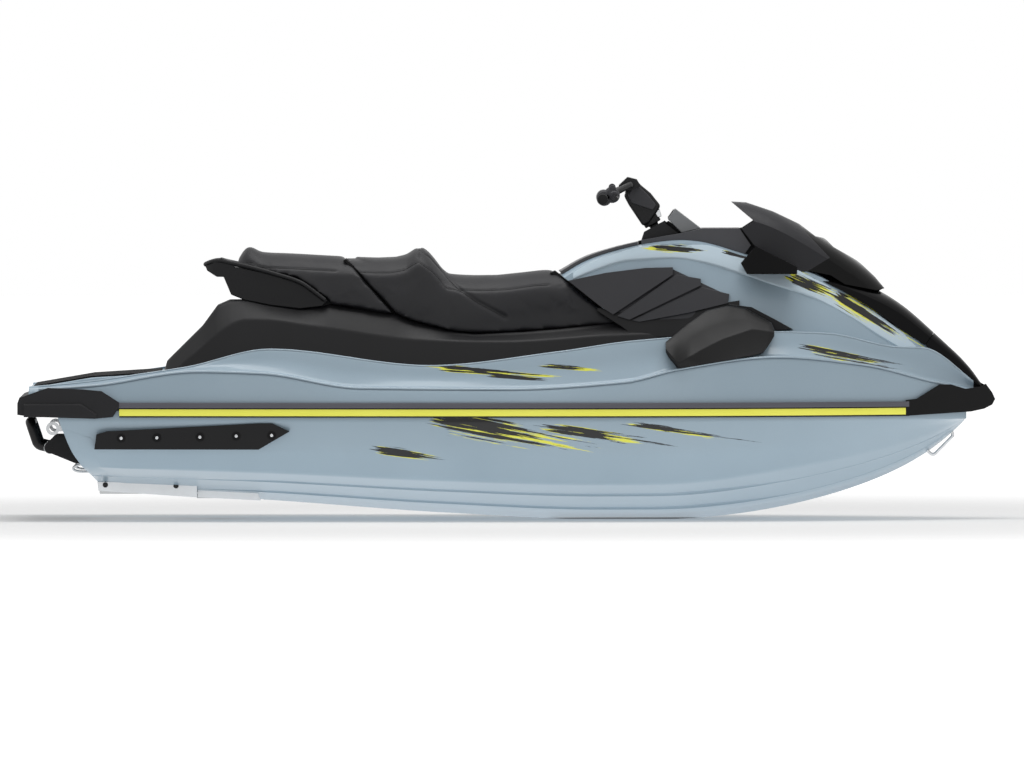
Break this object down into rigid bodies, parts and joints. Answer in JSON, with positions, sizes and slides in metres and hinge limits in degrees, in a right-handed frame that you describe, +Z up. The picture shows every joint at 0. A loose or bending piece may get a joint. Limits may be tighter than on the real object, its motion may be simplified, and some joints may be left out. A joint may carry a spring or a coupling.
{
  "type": "personal watercraft",
  "caption": "Sit-down personal watercraft with a V hull, straddle seat, steered water jet, reverse bucket, lifting hood and folding boarding step.",
  "frame": {"origin": "amidships on the centreline, at the waterline of the unladen craft", "axes": "+X forward to the bow, +Y to port, +Z up"},
  "size_m": [3.3467, 1.2252, 1.172],
  "materials": {
    "gelcoat": "glossy ice-blue gelcoat on moulded glass-fibre composite",
    "black_shell": "gloss black moulded shell",
    "black_trim": "grained black moulded plastic",
    "rail_rubber": "grey rubber rail with a yellow insert",
    "bumper_rubber": "black rubber bumper",
    "seat_cover": "dark grey marine vinyl over foam",
    "mat_foam": "black embossed foam mat",
    "steel": "stainless steel",
    "black_tube": "black coated steel tube",
    "cast_alloy": "cast aluminium",
    "gauge_grey": "grey satin plastic",
    "grip_rubber": "black ribbed rubber",
    "engine_block": "plain engine block"
  },
  "bodies": {
    "craft": {"bow_bumper": "bumper_rubber", "bow_eye": "steel", "console": "black_trim", "deck": "gelcoat", "engine": "engine_block", "foot_mat_left": "mat_foam", "foot_mat_right": "mat_foam", "footwell_pod_left": "black_trim", "footwell_pod_right": "black_trim", "front_cowl": "gelcoat", "front_seat": "seat_cover", "gauge_pod": "gauge_grey", "grab_handle": "black_trim", "hull": "gelcoat", "intake_grate": "cast_alloy", "jet_pump": "cast_alloy", "nose_panel": "black_shell", "rear_mat": "mat_foam", "ride_plate": "cast_alloy", "rub_rail_left": "rail_rubber", "rub_rail_right": "rail_rubber", "seat_pedestal": "black_trim", "side_vent_left": "black_shell", "side_vent_right": "black_shell", "sponson_left": "black_trim", "sponson_right": "black_trim", "steering_cover": "black_trim", "step_bracket_left": "black_tube", "step_bracket_right": "black_tube", "stern_bumper": "bumper_rubber", "stern_eye_left": "steel", "stern_eye_right": "steel"},
    "handlebar": {"steering_column": "black_trim", "handlebar": "black_tube", "handlebar_pad": "black_trim", "grip_left": "grip_rubber", "grip_right": "grip_rubber", "control_pod_left": "black_trim", "control_pod_right": "black_trim"},
    "hood": {"windscreen": "black_shell", "hood_panel": "black_shell", "mirror_left": "black_shell", "mirror_right": "black_shell"},
    "glovebox_lid": {"glovebox_lid": "black_shell"},
    "rear_seat": {"rear_seat": "seat_cover"},
    "steering_nozzle": {"steering_nozzle": "cast_alloy"},
    "reverse_bucket": {"reverse_bucket": "cast_alloy"},
    "impeller": {"impeller": "steel"},
    "boarding_step": {"boarding_step": "black_tube"}
  },
  "joints": [
    {"name": "handlebar_steering", "type": "hinge", "parent": "craft", "child": "handlebar", "pos_m": [0.50585, 0, 0.7636], "axis": [-0.5, 0, 0.866], "range_deg": [-20, 20]},
    {"name": "nozzle_steering", "type": "hinge", "parent": "craft", "child": "steering_nozzle", "pos_m": [-1.35295, 0, -0.035], "axis": [0, 0, 1], "range_deg": [-20, 20]},
    {"name": "impeller_spin", "type": "hinge", "parent": "craft", "child": "impeller", "pos_m": [-1.20295, 0, -0.035], "axis": [1, 0, 0], "continuous": true},
    {"name": "bucket_swing", "type": "hinge", "parent": "craft", "child": "reverse_bucket", "pos_m": [-1.35295, 0, -0.035], "axis": [0, -1, 0], "range_deg": [0, 78]},
    {"name": "step_fold", "type": "hinge", "parent": "craft", "child": "boarding_step", "pos_m": [-1.56468, 0, 0.007], "axis": [0, -1, 0], "range_deg": [0, 150]},
    {"name": "hood_lift", "type": "hinge", "parent": "craft", "child": "hood", "pos_m": [1.46328, 0, 0.399], "axis": [0, 1, 0], "range_deg": [0, 50]},
    {"name": "glovebox_lift", "type": "hinge", "parent": "craft", "child": "glovebox_lid", "pos_m": [0.4489, 0, 0.722], "axis": [0, 1, 0], "range_deg": [0, 45]},
    {"name": "rear_seat_lift", "type": "slide", "parent": "craft", "child": "rear_seat", "axis": [-0.7691, 0, 0.6391], "range_m": [0, 0.35]}
  ],
  "couplings": [
    {"joint": "nozzle_steering", "follows": "handlebar_steering", "ratio": -1}
  ]
}
